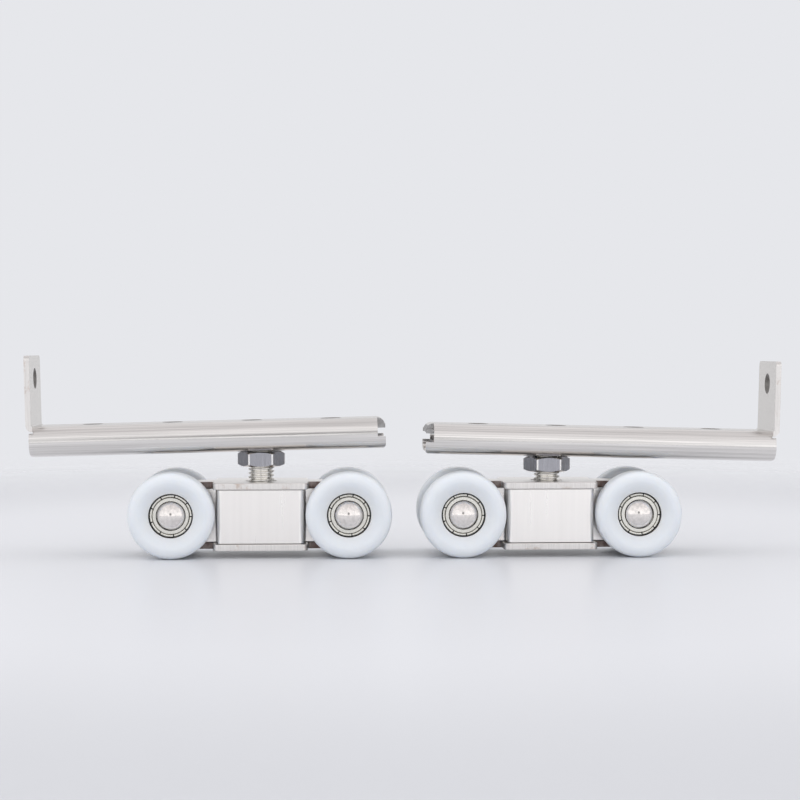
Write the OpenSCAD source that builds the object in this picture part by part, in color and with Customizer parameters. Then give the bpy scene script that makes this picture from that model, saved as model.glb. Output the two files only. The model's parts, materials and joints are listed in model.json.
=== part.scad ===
// Pair of four-wheel sliding door hangers, mirror images of each other.
// A carriage rolls on four nylon wheels. A swivel nut turns inside it, the hanger bolt
// climbs in that nut, and the slotted bracket slides on the bolt's head under the lock nut.
// Millimetres. Origin on the floor, midway between the hangers. +X along the pair, +Z up,
// -Y the front. In each hanger's own frame +x points outwards, to the bracket's tab.

/* [Bracket] */
// Length, from the open end to the outer face of the tab
bracket_len = 136; // [110:0.1:170]
// Width across the channel and of the tab
bracket_w = 27; // [25:0.5:34]
// Height of the folded channel
bracket_h = 11.7; // [11:0.1:14]
// Height of the tab above the channel
tab_h = 27; // [22:0.1:35]
// Thickness of the bracket's sheet
sheet_t = 2; // [1.5:0.1:2.4]
// Distance from the open end to the hanger bolt
bolt_inset = 47.9; // [38:0.1:57.5]
// Lean of the bracket on its bolt, tab end low, in degrees
bracket_lean = 1.4; // [0:0.1:2.2]

/* [Screw holes] */
// Diameter of each screw hole
hole_d = 5; // [4:0.1:6]
// Diameter of each countersink
sink_d = 8; // [7:0.1:9.8]
// Screw holes along the channel
hole_count = 4; // [2:1:5]
// Distance from the tab's outer face to the first screw hole
hole_inset_tab = 23.7; // [19:0.1:29]
// Distance from the open end to the last screw hole
hole_inset_end = 20.8; // [15:0.1:25]
// Distance from the top of the tab to its screw hole
tab_hole_drop = 8.8; // [7:0.1:12]

/* [Bolt and nuts] */
// Diameter of the hanger bolt
bolt_d = 10; // [8.4:0.1:12]
// Length of the bolt below its head
bolt_len = 29.5; // [29:0.5:30.5]
// Width across the flats of the bolt's head and the lock nut
hex_af = 16; // [14:0.5:19]
// Height of the lock nut
nut_h = 5.7; // [5:0.1:7]
// Thread left showing under the lock nut, left hanger
left_thread = 5.7; // [4:0.1:7]
// Thread left showing under the lock nut, right hanger
right_thread = 3.4; // [2.6:0.1:7]

/* [Carriage] */
// Length of the middle of the carriage plates
body_len = 36; // [30:0.5:44]
// Depth of the middle of the carriage plates
body_depth = 29.5; // [26:0.5:36]
// Height over both carriage plates
body_h = 25.8; // [24:0.1:30]
// How far the middle of the carriage hangs below the axles
body_drop = 0.7; // [0:0.1:1]
// Thickness of the carriage plates
plate_t = 2.5; // [2:0.1:3]
// Thickness of the folded carriage walls
wall_t = 1.5; // [1:0.1:2]
// Width of the neck between the wheels
neck_w = 12; // [10:0.5:15]

/* [Wheels] */
// Diameter of the wheels
wheel_d = 33; // [27.5:0.5:40]
// Width of the wheels
wheel_w = 12; // [10:0.2:15]
// Outer diameter of the ball bearings
bearing_od = 19; // [18:0.1:22.8]
// Width of the ball bearings
bearing_w = 6; // [5.8:0.1:7]
// Diameter of the axles
axle_d = 6; // [5:0.1:6.4]

/* [Layout] */
// Gap between the open ends of the two brackets
end_gap = 15.2; // [12:0.1:60]

/* [Hidden] */
$fn = 96;
running = 0.05;       // radial clearance of a part that turns on another
axial_gap = 0.1;      // end clearance of a part that turns on another
free_gap = 0.55;      // clearance of a wheel from the carriage walls
neck_gap = 1;         // clearance of a wheel from the neck
head_play = 0.34;     // clearance above and below the bolt's head in the channel
nut_play = 0.25;      // clearance of the lock nut's corners from the leaning bracket
slot_play = 0.5;      // clearance of the bolt in the bracket's slot
hole_play = 1.2;      // clearance of the bolt in the top plate
overhang = 1.35;      // how far the plates stand out past the walls' ends
wall_setback = 1;     // how far the plates stand out past the walls' faces
corner_r = 2;         // rounding of the walls' and plates' corners

// bracket
end_setback = 3;      // how far the top of the channel stops short of the flanges
setback_depth = 2.2;
flange_overrun = 1.5; // how far the flanges run on past the start of the tab's bend
relief = 0.6;         // height of the notch between the tab's foot and the flanges
bend_r = 2.5;         // outer radius of the bend up to the tab
tab_corner_r = 2;
channel_r = bracket_h / 2;
slot_w = bolt_d + 2 * slot_play;
hole_pitch = (bracket_len - hole_inset_tab - hole_inset_end) / (hole_count - 1);
sink_land = 0.5;      // straight wall left at the small end of a countersink
x_open = -bolt_inset;
x_tab = bracket_len - bolt_inset;
x_bend = x_tab - bend_r;
tab_top = bracket_h + tab_h;
tab_hole_z = tab_top - tab_hole_drop;

// carriage heights
axle_z = wheel_d / 2;
base_z = axle_z - body_h / 2 - body_drop;
floor_z = base_z + plate_t;
ceiling_z = base_z + body_h - plate_t;
top_z = base_z + body_h;

// bolt, nuts and hub
hex_ac = hex_af / cos(30);
lean_rise = hex_ac / 2 * sin(bracket_lean);
head_h = bracket_h - 2 * sheet_t - 2 * lean_rise - 2 * head_play;
nut_gap = lean_rise + nut_play;
bolt_tip = 1;         // chamfer at the bolt's end
washer_t = 1.5;
washer_r = 9;
washer_play = 0.6;
hub_r = 8;
hub_floor = 2;
hub_lift = 0.6;       // clearance of the hub above the bottom plate
spigot_r = 4;

// wheels
neck_half = neck_w / 2;
wheel_y = neck_half + neck_gap + wheel_w / 2;
wheel_x = body_len / 2 - overhang + free_gap + wheel_d / 2;
tread_r = wheel_d / 2;
edge_r = 3;           // rounding of the tread's edges
lip_t = 1;            // nylon lip over the bearing's outer ring
lip_w = 1.45;
bearing_r = bearing_od / 2;
axle_r = axle_d / 2;
dish_r = tread_r - edge_r - 1; // outside of the sloping dish around the bearing
ball_r = 1.73;
ball_pcr = (bearing_r + axle_r) / 2;
core_r = ball_pcr - 1.35;
shell_r = ball_pcr + 1.5;
groove_r = ball_r + running;
ball_count = 7;
cage_half_t = 0.35;
shield_t = 0.3;
shield_inset = 0.1;
cage_half_w = bearing_w / 2 - shield_inset - shield_t - 0.5;
shield_bore_r = core_r + 0.65;
head_r = core_r + 0.4;
head_base = 0.6;
crown_cut = 0.03;     // taken off the top of the dome, which leaves a small flat
head_shoulder = 0.2;  // flat ring left around the dome of an axle's head
head_inset = 0.1;     // how far the axle's head stays inside the wheel's face
head_rise = (wheel_w - bearing_w) / 2 - head_inset - head_base;
spacer_r = core_r - 0.1;
spacer_play = 0.1;
neck_end = 8;         // how far the neck runs past the axle
neck_end_r = 3;

hanger_x = bolt_inset + end_gap / 2;

SIDES = ["left", "right"];
CORNERS = ["front_tab", "front_open", "rear_tab", "rear_open"];
HANGER_PARTS = [
    "bracket", "hanger_bolt", "lock_nut", "swivel_nut", "thrust_washer", "top_plate",
    "bottom_plate", "front_wall", "rear_wall", "tab_axle", "open_axle", "spacer_bushes"
];
WHEEL_PARTS = ["wheel", "bearing_shell", "bearing_core", "bearing_balls"];

function along(corner) = (corner == "front_tab" || corner == "rear_tab") ? 1 : -1;
function across(corner) = (corner == "front_tab" || corner == "front_open") ? -1 : 1;
function thread_of(side) = side == "left" ? left_thread : right_thread;

// height of the lock nut's underside, of the slot lips at the bolt, and of the bolt head's underside
function nut_z(side) = top_z + thread_of(side);
function lip_z(side) = nut_z(side) + nut_h + nut_gap;
function head_z(side) = lip_z(side) + sheet_t + lean_rise + head_play;

// a hanger's own frame: the right hanger's, and its mirror image for the left
module hanger(side) {
    mirror([side == "left" ? 1 : 0, 0, 0])
        translate([hanger_x, 0, 0])
            children();
}

// a shape turned about z, laid along y and centred at y
module along_y(x, y, z) {
    translate([x, y, z])
        rotate([90, 0, 0])
            children();
}

// a rectangle with round corners, from true circles
module round_rect(length, width, r) {
    square([length - 2 * r, width], center = true);
    square([length, width - 2 * r], center = true);
    for (sx = [-1, 1], sy = [-1, 1])
        translate([sx * (length / 2 - r), sy * (width / 2 - r)])
            circle(r);
}

// ---- bracket ----

// the channel's section in (y, z): a flat oval of half-round sides
module flat_oval(width, r, inset) {
    for (s = [-1, 1])
        translate([s * (width / 2 - r), r])
            circle(r - inset);
    translate([-width / 2 + r, inset])
        square([width - 2 * r, 2 * (r - inset)]);
}

module channel_section() {
    difference() {
        flat_oval(bracket_w, channel_r, 0);
        flat_oval(bracket_w, channel_r, sheet_t);
        translate([-slot_w / 2, -1])
            square([slot_w, sheet_t + 2]);
    }
}

// extrudes a (y, z) section along +x
module extrude_x(length) {
    rotate([90, 0, 90])
        linear_extrude(length)
            children();
}

module channel() {
    difference() {
        translate([x_open, 0, 0])
            extrude_x(x_bend + flange_overrun - x_open)
                channel_section();
        translate([x_open - 1, -bracket_w, bracket_h - setback_depth])
            cube([end_setback + 1, 2 * bracket_w, 2 * setback_depth]);
        translate([x_bend, -bracket_w, bracket_h - sheet_t - relief])
            cube([flange_overrun + 1, 2 * bracket_w, bracket_h]);
    }
}

// the sheet's quarter bend from the channel's top up to the tab, across the whole width
module bend() {
    translate([x_bend, bracket_w / 2, bracket_h - sheet_t + bend_r])
        rotate([90, 0, 0])
            linear_extrude(bracket_w)
                intersection() {
                    difference() {
                        circle(bend_r);
                        circle(bend_r - sheet_t);
                    }
                    translate([0, -bend_r])
                        square(bend_r);
                }
}

module tab_plate() {
    foot = bracket_h - sheet_t + bend_r;
    translate([x_tab - sheet_t, 0, 0])
        extrude_x(sheet_t)
            difference() {
                translate([0, tab_top / 2])
                    round_rect(bracket_w, tab_top, tab_corner_r);
                translate([-bracket_w, -1])
                    square([2 * bracket_w, foot + 1]);
            }
}

// a screw hole through the sheet, countersunk on the side that +z points to
module screw_hole() {
    translate([0, 0, -sheet_t - 1])
        cylinder(h = sheet_t + 2, d = hole_d);
    translate([0, 0, sink_land - sheet_t])
        cylinder(h = sheet_t - sink_land, d1 = hole_d, d2 = sink_d);
    cylinder(h = 1, d = sink_d);
}

module bracket(side) {
    color("lightsteelblue")
        translate([0, 0, lip_z(side)])
            rotate([0, bracket_lean, 0])
                difference() {
                    union() {
                        channel();
                        bend();
                        tab_plate();
                    }
                    for (i = [0 : hole_count - 1])
                        translate([x_tab - hole_inset_tab - i * hole_pitch, 0, bracket_h])
                            screw_hole();
                    translate([x_tab - sheet_t, 0, tab_hole_z])
                        rotate([0, -90, 0])
                            screw_hole();
                }
}

// ---- bolt and nuts ----

// a hexagonal block whose corners are cut to a shallow cone at the ends asked for
module hex_block(height, cut_bottom) {
    corner = (hex_ac - hex_af) / 2;
    rise = corner * tan(30);
    intersection() {
        cylinder(h = height, d = hex_ac, $fn = 6);
        union() {
            if (cut_bottom)
                cylinder(h = rise, d1 = hex_af, d2 = hex_ac);
            translate([0, 0, cut_bottom ? rise : 0])
                cylinder(h = height - rise - (cut_bottom ? rise : 0), d = hex_ac);
            translate([0, 0, height - rise])
                cylinder(h = rise, d1 = hex_ac, d2 = hex_af);
        }
    }
}

module hanger_bolt(side) {
    color("silver")
        translate([0, 0, head_z(side)]) {
            hex_block(head_h, false);
            translate([0, 0, bolt_tip - bolt_len])
                cylinder(h = bolt_len - bolt_tip, d = bolt_d);
            translate([0, 0, -bolt_len])
                cylinder(h = bolt_tip, d1 = bolt_d - 2 * bolt_tip, d2 = bolt_d);
        }
}

module lock_nut(side) {
    color("gray")
        translate([0, 0, nut_z(side)])
            difference() {
                hex_block(nut_h, true);
                translate([0, 0, -1])
                    cylinder(h = nut_h + 2, r = bolt_d / 2 + running);
            }
}

module swivel_nut() {
    hub_z = floor_z + hub_lift;
    hub_top = ceiling_z - washer_t - axial_gap;
    color("darkgray")
        difference() {
            union() {
                translate([0, 0, hub_z])
                    cylinder(h = hub_top - hub_z, r = hub_r);
                translate([0, 0, base_z])
                    cylinder(h = hub_z - base_z, r = spigot_r);
            }
            translate([0, 0, hub_z + hub_floor])
                cylinder(h = hub_top, r = bolt_d / 2 + running);
        }
}

module thrust_washer() {
    color("goldenrod")
        translate([0, 0, ceiling_z - washer_t])
            difference() {
                cylinder(h = washer_t, r = washer_r);
                translate([0, 0, -1])
                    cylinder(h = washer_t + 2, r = bolt_d / 2 + washer_play);
            }
}

// ---- carriage ----

module plate_outline() {
    round_rect(body_len, body_depth, corner_r);
    round_rect(2 * (wheel_x + neck_end), neck_w, neck_end_r);
}

module carriage_plate(z, bore_r) {
    color("gainsboro")
        translate([0, 0, z])
            difference() {
                linear_extrude(plate_t)
                    plate_outline();
                translate([0, 0, -1])
                    cylinder(h = plate_t + 2, r = bore_r);
            }
}

// plan of one folded wall, on the -y side: out around the middle and back along the neck
module wall_plan(inset) {
    length = body_len - 2 * overhang - 2 * inset;
    depth = body_depth - 2 * wall_setback - 2 * inset;
    round_rect(length, depth, corner_r - inset);
    square([2 * (wheel_x + neck_end - neck_end_r), neck_w - 2 * inset], center = true);
}

module carriage_wall(s) {
    color("whitesmoke")
        difference() {
            translate([0, 0, floor_z])
                linear_extrude(ceiling_z - floor_z)
                    difference() {
                        wall_plan(0);
                        wall_plan(wall_t);
                        square([4 * wheel_x, neck_w - 2 * wall_t], center = true);
                        translate([0, -s * 2 * body_depth])
                            square([4 * wheel_x, 4 * body_depth], center = true);
                    }
            for (x = [-wheel_x, wheel_x])
                along_y(x, 0, axle_z)
                    cylinder(h = 2 * body_depth, r = axle_r + spacer_play, center = true);
        }
}

// one axle through both wheels of a pair, with a domed head peened on each end
module axle(x) {
    shaft_half = wheel_y + bearing_w / 2;
    foot_r = head_r - head_shoulder;
    dome_r = (foot_r * foot_r + head_rise * head_rise) / (2 * head_rise);
    color("silver")
        along_y(x, 0, axle_z) {
            cylinder(h = 2 * shaft_half, r = axle_r, center = true);
            for (s = [0, 1])
                mirror([0, 0, s])
                    translate([0, 0, shaft_half]) {
                        cylinder(h = head_base, r = head_r);
                        translate([0, 0, head_base])
                            intersection() {
                                translate([0, 0, head_rise - dome_r])
                                    sphere(dome_r);
                                cylinder(h = head_rise - crown_cut, r = 2 * head_r);
                            }
                    }
        }
}

module spacer_bushes() {
    length = wheel_y - bearing_w / 2 - neck_half;
    color("silver")
        for (x = [-wheel_x, wheel_x], s = [-1, 1])
            along_y(x, s * (neck_half + length / 2), axle_z)
                difference() {
                    cylinder(h = length, r = spacer_r, center = true);
                    cylinder(h = length + 2, r = axle_r + spacer_play, center = true);
                }
}

// ---- wheels ----

module at_wheel(corner) {
    along_y(along(corner) * wheel_x, across(corner) * wheel_y, axle_z)
        children();
}

// the wheel's section: tread, rounded edges, sloping dishes and the lips over the bearing
module wheel_section() {
    half = wheel_w / 2;
    lip_face = bearing_w / 2 + lip_t;
    lip_r = bearing_r - lip_w;
    difference() {
        union() {
            translate([0, -half])
                square([tread_r - edge_r, wheel_w]);
            translate([0, edge_r - half])
                square([tread_r, wheel_w - 2 * edge_r]);
            for (s = [-1, 1])
                translate([tread_r - edge_r, s * (half - edge_r)])
                    circle(edge_r);
        }
        translate([-1, -half - 1])
            square([lip_r + 1, wheel_w + 2]);
        translate([-1, -bearing_w / 2])
            square([bearing_r + 1, bearing_w]);
        for (s = [0, 1])
            mirror([0, s])
                polygon([
                    [-1, lip_face],
                    [lip_r + 0.4, lip_face],
                    [dish_r, half],
                    [dish_r, half + 1],
                    [-1, half + 1]
                ]);
    }
}

module wheel(corner) {
    color("white")
        at_wheel(corner)
            rotate_extrude()
                wheel_section();
}

// outer ring and the two shields pressed into it
module bearing_shell(corner) {
    half = bearing_w / 2;
    color("ivory")
        at_wheel(corner) {
            rotate_extrude()
                difference() {
                    translate([shell_r, -half])
                        square([bearing_r - shell_r, bearing_w]);
                    translate([ball_pcr, 0])
                        circle(groove_r);
                }
            for (s = [-1, 1])
                translate([0, 0, s * (half - shield_inset - shield_t / 2)])
                    difference() {
                        cylinder(h = shield_t, r = shell_r, center = true);
                        cylinder(h = 2 * shield_t, r = shield_bore_r, center = true);
                    }
        }
}

// inner ring, seated on the axle between the spacer bush and the axle's head
module bearing_core(corner) {
    color("silver")
        at_wheel(corner)
            rotate_extrude()
                difference() {
                    translate([axle_r, -bearing_w / 2])
                        square([core_r - axle_r, bearing_w]);
                    translate([ball_pcr, 0])
                        circle(groove_r);
                }
}

// the balls, each free in its pocket, and the cage that carries them round
module bearing_balls(corner) {
    color("dimgray")
        at_wheel(corner) {
            for (i = [0 : ball_count - 1])
                rotate([0, 0, i * 360 / ball_count])
                    translate([ball_pcr, 0, 0])
                        sphere(ball_r);
            difference() {
                cylinder(h = 2 * cage_half_w, r = ball_pcr + cage_half_t, center = true);
                cylinder(h = 3 * cage_half_w, r = ball_pcr - cage_half_t, center = true);
                for (i = [0 : ball_count - 1])
                    rotate([0, 0, i * 360 / ball_count])
                        rotate([0, 90, 0])
                            cylinder(h = 2 * ball_pcr, r = groove_r);
            }
        }
}

// ---- the pair ----

module hanger_part(side, part) {
    if (part == "bracket") bracket(side);
    if (part == "hanger_bolt") hanger_bolt(side);
    if (part == "lock_nut") lock_nut(side);
    if (part == "swivel_nut") swivel_nut();
    if (part == "thrust_washer") thrust_washer();
    if (part == "top_plate") carriage_plate(ceiling_z, bolt_d / 2 + hole_play);
    if (part == "bottom_plate") carriage_plate(base_z, spigot_r + running);
    if (part == "front_wall") carriage_wall(-1);
    if (part == "rear_wall") carriage_wall(1);
    if (part == "tab_axle") axle(wheel_x);
    if (part == "open_axle") axle(-wheel_x);
    if (part == "spacer_bushes") spacer_bushes();
}

module wheel_part(corner, part) {
    if (part == "wheel") wheel(corner);
    if (part == "bearing_shell") bearing_shell(corner);
    if (part == "bearing_core") bearing_core(corner);
    if (part == "bearing_balls") bearing_balls(corner);
}

for (side = SIDES) {
    for (part = HANGER_PARTS)
        hanger(side) hanger_part(side, part);
    for (corner = CORNERS, part = WHEEL_PARTS)
        hanger(side) wheel_part(corner, part);
}
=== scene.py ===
import json
import logging
import math
from dataclasses import dataclass, field, replace
from enum import Enum

import bmesh
import bpy
from mathutils import Matrix, Vector


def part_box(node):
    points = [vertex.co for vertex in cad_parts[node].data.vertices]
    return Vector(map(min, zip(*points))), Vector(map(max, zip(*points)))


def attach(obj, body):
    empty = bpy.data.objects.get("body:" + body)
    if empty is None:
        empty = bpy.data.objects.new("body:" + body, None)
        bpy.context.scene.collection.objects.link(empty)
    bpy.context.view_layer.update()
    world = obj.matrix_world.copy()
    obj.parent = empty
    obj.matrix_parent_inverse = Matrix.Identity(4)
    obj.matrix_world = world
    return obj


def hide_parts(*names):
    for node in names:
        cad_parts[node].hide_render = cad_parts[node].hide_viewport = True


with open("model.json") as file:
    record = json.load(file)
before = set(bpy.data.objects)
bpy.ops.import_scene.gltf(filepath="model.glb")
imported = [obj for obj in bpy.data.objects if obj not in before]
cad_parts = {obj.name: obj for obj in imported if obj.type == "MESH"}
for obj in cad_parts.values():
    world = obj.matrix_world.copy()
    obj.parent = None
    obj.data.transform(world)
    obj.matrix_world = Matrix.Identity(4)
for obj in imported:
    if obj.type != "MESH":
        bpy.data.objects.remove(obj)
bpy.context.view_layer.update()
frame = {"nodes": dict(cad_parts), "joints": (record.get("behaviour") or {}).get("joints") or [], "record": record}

logging.basicConfig(level=logging.INFO, format="%(message)s")
log = logging.getLogger("hangers")

MM = 0.001  # metres in a millimetre: pieces are shaped in millimetres and then put in place in metres
AROUND = 96  # faces round a turned piece

Point2 = tuple[float, float]


# ---------------------------------------------------------------- nodes and colours


def linear(hex_colour: str) -> tuple[float, float, float, float]:
    """Turns an sRGB hex colour into a linear one.

    Args:
        hex_colour: six hex digits after a hash.

    Returns:
        Linear red, green, blue and an alpha of 1.
    """
    shares = [int(hex_colour[i : i + 2], 16) / 255 for i in (1, 3, 5)]
    lit = [c / 12.92 if c <= 0.04045 else ((c + 0.055) / 1.055) ** 2.4 for c in shares]
    return (lit[0], lit[1], lit[2], 1.0)


def add_node(tree: bpy.types.NodeTree, kind: str, inputs: dict | None = None, **settings) -> bpy.types.Node:
    """Adds a node, with its settings, values and links.

    Args:
        tree: the node tree to add to.
        kind: the node's type name.
        inputs: socket name or index to a value, or to an output socket to link.
        settings: the node's own properties.

    Returns:
        The new node.
    """
    node = tree.nodes.new(kind)
    for name, value in settings.items():
        setattr(node, name, value)
    for key, value in (inputs or {}).items():
        if isinstance(value, bpy.types.NodeSocket):
            tree.links.new(value, node.inputs[key])
        else:
            node.inputs[key].default_value = value
    return node


def maths(tree: bpy.types.NodeTree, operation: str, a, b=0.0, c=0.0) -> bpy.types.NodeSocket:
    """Adds a Math node and gives its result.

    Args:
        tree: the node tree to add to.
        operation: the Math node's operation.
        a: first value or socket.
        b: second value or socket.
        c: third value or socket.

    Returns:
        The node's output socket.
    """
    return add_node(tree, "ShaderNodeMath", {0: a, 1: b, 2: c}, operation=operation).outputs[0]


def stretch(
    tree: bpy.types.NodeTree, value: bpy.types.NodeSocket, low: float, high: float, first: float = 0.0,
    last: float = 1.0, blend: str = "LINEAR",
) -> bpy.types.NodeSocket:
    """Adds a Map Range node and gives its result, which stops at both ends.

    Args:
        tree: the node tree to add to.
        value: what is stretched.
        low: the value that gives the first result.
        high: the value that gives the last result.
        first: the first result.
        last: the last result.
        blend: the node's interpolation.

    Returns:
        The node's output socket.
    """
    inputs = {0: value, 1: low, 2: high, 3: first, 4: last}
    return add_node(tree, "ShaderNodeMapRange", inputs, interpolation_type=blend).outputs[0]


def clean_tree(holder: bpy.types.Material | bpy.types.World) -> bpy.types.NodeTree:
    """Turns on the nodes of a material or a world and empties them.

    Args:
        holder: the material or the world.

    Returns:
        Its node tree.
    """
    holder.use_nodes = True
    holder.node_tree.nodes.clear()
    return holder.node_tree


def gradient(
    tree: bpy.types.NodeTree, value: bpy.types.NodeSocket, stops: list[tuple[float, str | float]], blend: str = "LINEAR"
) -> bpy.types.NodeSocket:
    """Adds a colour ramp and gives its result.

    Args:
        tree: the node tree to add to.
        value: what runs along the ramp, from 0 to 1.
        stops: each stop's place, with its sRGB hex colour or its grey level.
        blend: the ramp's interpolation.

    Returns:
        The ramp's colour.
    """
    ramp = add_node(tree, "ShaderNodeValToRGB", {0: value})
    ramp.color_ramp.interpolation = blend
    bands = ramp.color_ramp.elements
    while len(bands) < len(stops):
        bands.new(0.5)
    for band, (at, shade) in zip(bands, stops):
        band.position = at
        band.color = linear(shade) if isinstance(shade, str) else (shade, shade, shade, 1.0)
    return ramp.outputs[0]


# ---------------------------------------------------------------- finishes


class Grain(Enum):
    """Which way the marks of a finish run."""

    ALONG = (1.0, 0.008, 0.008)
    UPRIGHT = (0.03, 0.03, 1.0)
    ACROSS = (0.03, 1.0, 0.03)
    NONE = (1.0, 1.0, 1.0)


@dataclass(frozen=True)
class Finish:
    """A surface finish: what the material is and how its surface was made.

    Attributes:
        name: the finish's name.
        colour: sRGB hex colour.
        metallic: 1 for a bare metal.
        roughness: typical roughness.
        spread: how far the roughness varies either way.
        mark_mm: width of the finish's marks, coarse enough to show.
        grain: which way the marks run.
        bump_mm: depth of the marks.
        contrast: how much darker the marks are than the rest.
        lean: slope of the marks along x, in degrees, on a piece that lies at a slope.
        tint: sRGB hex colour of stains or wear, if any.
        tint_share: how much of the surface the stains cover, from 0 to 1.
        tint_mm: size of the stains.
    """

    name: str
    colour: str
    metallic: float = 1.0
    roughness: float = 0.3
    spread: float = 0.06
    mark_mm: float = 0.5
    grain: Grain = Grain.NONE
    bump_mm: float = 0.004
    contrast: float = 0.14
    lean: float = 0.0
    tint: str | None = None
    tint_share: float = 0.0
    tint_mm: float = 4.0

    def coordinates(self, tree: bpy.types.NodeTree, size_mm: float) -> bpy.types.NodeSocket:
        """Object coordinates scaled so that one unit is a mark's width across the grain.

        Args:
            tree: the material's node tree.
            size_mm: width of a mark.

        Returns:
            The mapped vector.
        """
        place = add_node(tree, "ShaderNodeTexCoord").outputs["Object"]
        if self.lean:
            place = add_node(
                tree, "ShaderNodeVectorRotate", {"Vector": place, "Angle": math.radians(self.lean)},
                rotation_type="Y_AXIS",
            ).outputs["Vector"]
        run = self.grain.value
        scale = [1 / (size_mm * MM) * (min(run) / r) for r in run]
        return add_node(tree, "ShaderNodeMapping", {"Vector": place, "Scale": scale}).outputs["Vector"]

    def marks(self, tree: bpy.types.NodeTree) -> bpy.types.NodeSocket:
        """Noise from 0 to 1 that follows the grain.

        Args:
            tree: the material's node tree.

        Returns:
            The noise value.
        """
        vector = self.coordinates(tree, self.mark_mm)
        noise = add_node(
            tree, "ShaderNodeTexNoise", {"Vector": vector, "Scale": 1.0, "Detail": 3.0, "Roughness": 0.6}
        )
        return noise.outputs["Fac"]

    def colour_socket(self, tree: bpy.types.NodeTree, marks: bpy.types.NodeSocket) -> bpy.types.NodeSocket:
        """The base colour, a little darker in the marks and stained where the tint lies.

        Args:
            tree: the material's node tree.
            marks: the grain's noise.

        Returns:
            The colour socket.
        """
        base = linear(self.colour)
        dark = tuple(c * (1 - 2 * self.contrast) for c in base[:3]) + (1.0,)
        marks = stretch(tree, marks, 0.35, 0.85)
        mixed = add_node(tree, "ShaderNodeMix", {"Factor": marks, 6: base, 7: dark}, data_type="RGBA").outputs[2]
        if self.tint is None:
            return mixed
        place = add_node(tree, "ShaderNodeTexCoord").outputs["Object"]
        patches = add_node(
            tree,
            "ShaderNodeTexNoise",
            {"Vector": place, "Scale": 1 / (self.tint_mm * MM), "Detail": 4.0, "Roughness": 0.65},
        ).outputs["Fac"]
        edge = 0.72 - 0.34 * self.tint_share
        share = stretch(tree, patches, edge - 0.08, edge + 0.1, 0.0, 0.75)
        return add_node(
            tree, "ShaderNodeMix", {"Factor": share, 6: mixed, 7: linear(self.tint)}, data_type="RGBA"
        ).outputs[2]

    def shade(self, tree: bpy.types.NodeTree, shader: bpy.types.Node, marks: bpy.types.NodeSocket) -> None:
        """Sets what is particular to this kind of material. A bare metal adds nothing.

        Args:
            tree: the material's node tree.
            shader: its Principled BSDF.
            marks: the grain's noise.
        """

    def material(self) -> bpy.types.Material:
        """Builds the finish's material, or gives the one already built.

        Returns:
            The material.
        """
        known = bpy.data.materials.get(self.name)
        if known:
            return known
        made = bpy.data.materials.new(self.name)
        tree = clean_tree(made)
        marks = self.marks(tree)
        rough = stretch(tree, marks, 0.3, 0.7, self.roughness - self.spread, self.roughness + self.spread)
        bump = add_node(tree, "ShaderNodeBump", {"Height": marks, "Distance": self.bump_mm * MM, "Strength": 0.6})
        look = {"Base Color": self.colour_socket(tree, marks), "Metallic": self.metallic, "Roughness": rough}
        shader = add_node(tree, "ShaderNodeBsdfPrincipled", look | {"Normal": bump.outputs[0]})
        self.shade(tree, shader, marks)
        add_node(tree, "ShaderNodeOutputMaterial", {"Surface": shader.outputs[0]})
        return made


@dataclass(frozen=True)
class Nylon(Finish):
    """Moulded natural nylon: milky, lets light a few millimetres in, soft sheen from the mould."""

    depth_mm: float = 3.0

    def shade(self, tree: bpy.types.NodeTree, shader: bpy.types.Node, marks: bpy.types.NodeSocket) -> None:
        """Lets light into the plastic.

        Args:
            tree: the material's node tree.
            shader: its Principled BSDF.
            marks: the grain's noise.
        """
        look = {"Weight": 0.5, "Radius": (0.9, 1.0, 1.15), "Scale": self.depth_mm * MM}
        for label, value in look.items():
            shader.inputs[f"Subsurface {label}"].default_value = value
        shader.inputs["IOR"].default_value = 1.53


# Cold-rolled stainless sheet, brushed along its length: long soft streaks under a satin sheen.
BRUSHED_SHEET = Finish(
    "brushed_stainless_sheet", "#E8E5E2", roughness=0.2, spread=0.07, mark_mm=0.6, grain=Grain.ALONG, bump_mm=0.003,
    contrast=0.2,
)
# Bright stainless sheet as it leaves the press: smoother, with faint upright polishing marks.
BRIGHT_SHEET = Finish(
    "bright_stainless_sheet", "#F6F3F0", roughness=0.3, spread=0.03, mark_mm=1.6, grain=Grain.UPRIGHT, bump_mm=0.001,
    contrast=0.02,
)
# Edge of sheet cut in a shear: torn upright lines, straw-coloured heat tint in patches.
SHEARED_EDGE = Finish(
    "sheared_stainless_edge", "#E8E5E2", roughness=0.4, spread=0.08, mark_mm=0.5, grain=Grain.UPRIGHT,
    bump_mm=0.008, contrast=0.08, tint="#B39A86", tint_share=0.25, tint_mm=5.0,
)
# Neck's cut edge, blued and browned where the plate was welded, and painted darker and duller for the shade it lies in
# between wheel and plate.
TINTED_SHADED_EDGE = Finish(
    "heat_tinted_painted_shade_edge", "#8F8480", roughness=0.45, spread=0.08, mark_mm=0.5, grain=Grain.UPRIGHT,
    bump_mm=0.02, tint="#5E4A42", tint_share=0.7, tint_mm=3.0,
)
# Channel's end crushed in a press: dull, torn and grey.
CRIMPED_END = Finish(
    "crimped_stainless_end", "#A9A8A8", roughness=0.42, spread=0.1, mark_mm=0.7, bump_mm=0.05, contrast=0.2
)
# Wall of a drilled and countersunk hole: rings from the cutter, painted dark for the shade in the depth.
DRILLED_HOLE_SHADE = Finish(
    "drilled_hole_painted_shade", "#85827F", roughness=0.38, spread=0.08, mark_mm=0.4, bump_mm=0.01, contrast=0.15
)
# Hexagon bar machined and tumbled: darker grey flats with a fine tooth.
MACHINED_HEX = Finish(
    "machined_hexagon_steel", "#A9A9AF", roughness=0.3, spread=0.08, mark_mm=0.4, grain=Grain.UPRIGHT, bump_mm=0.006
)
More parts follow.
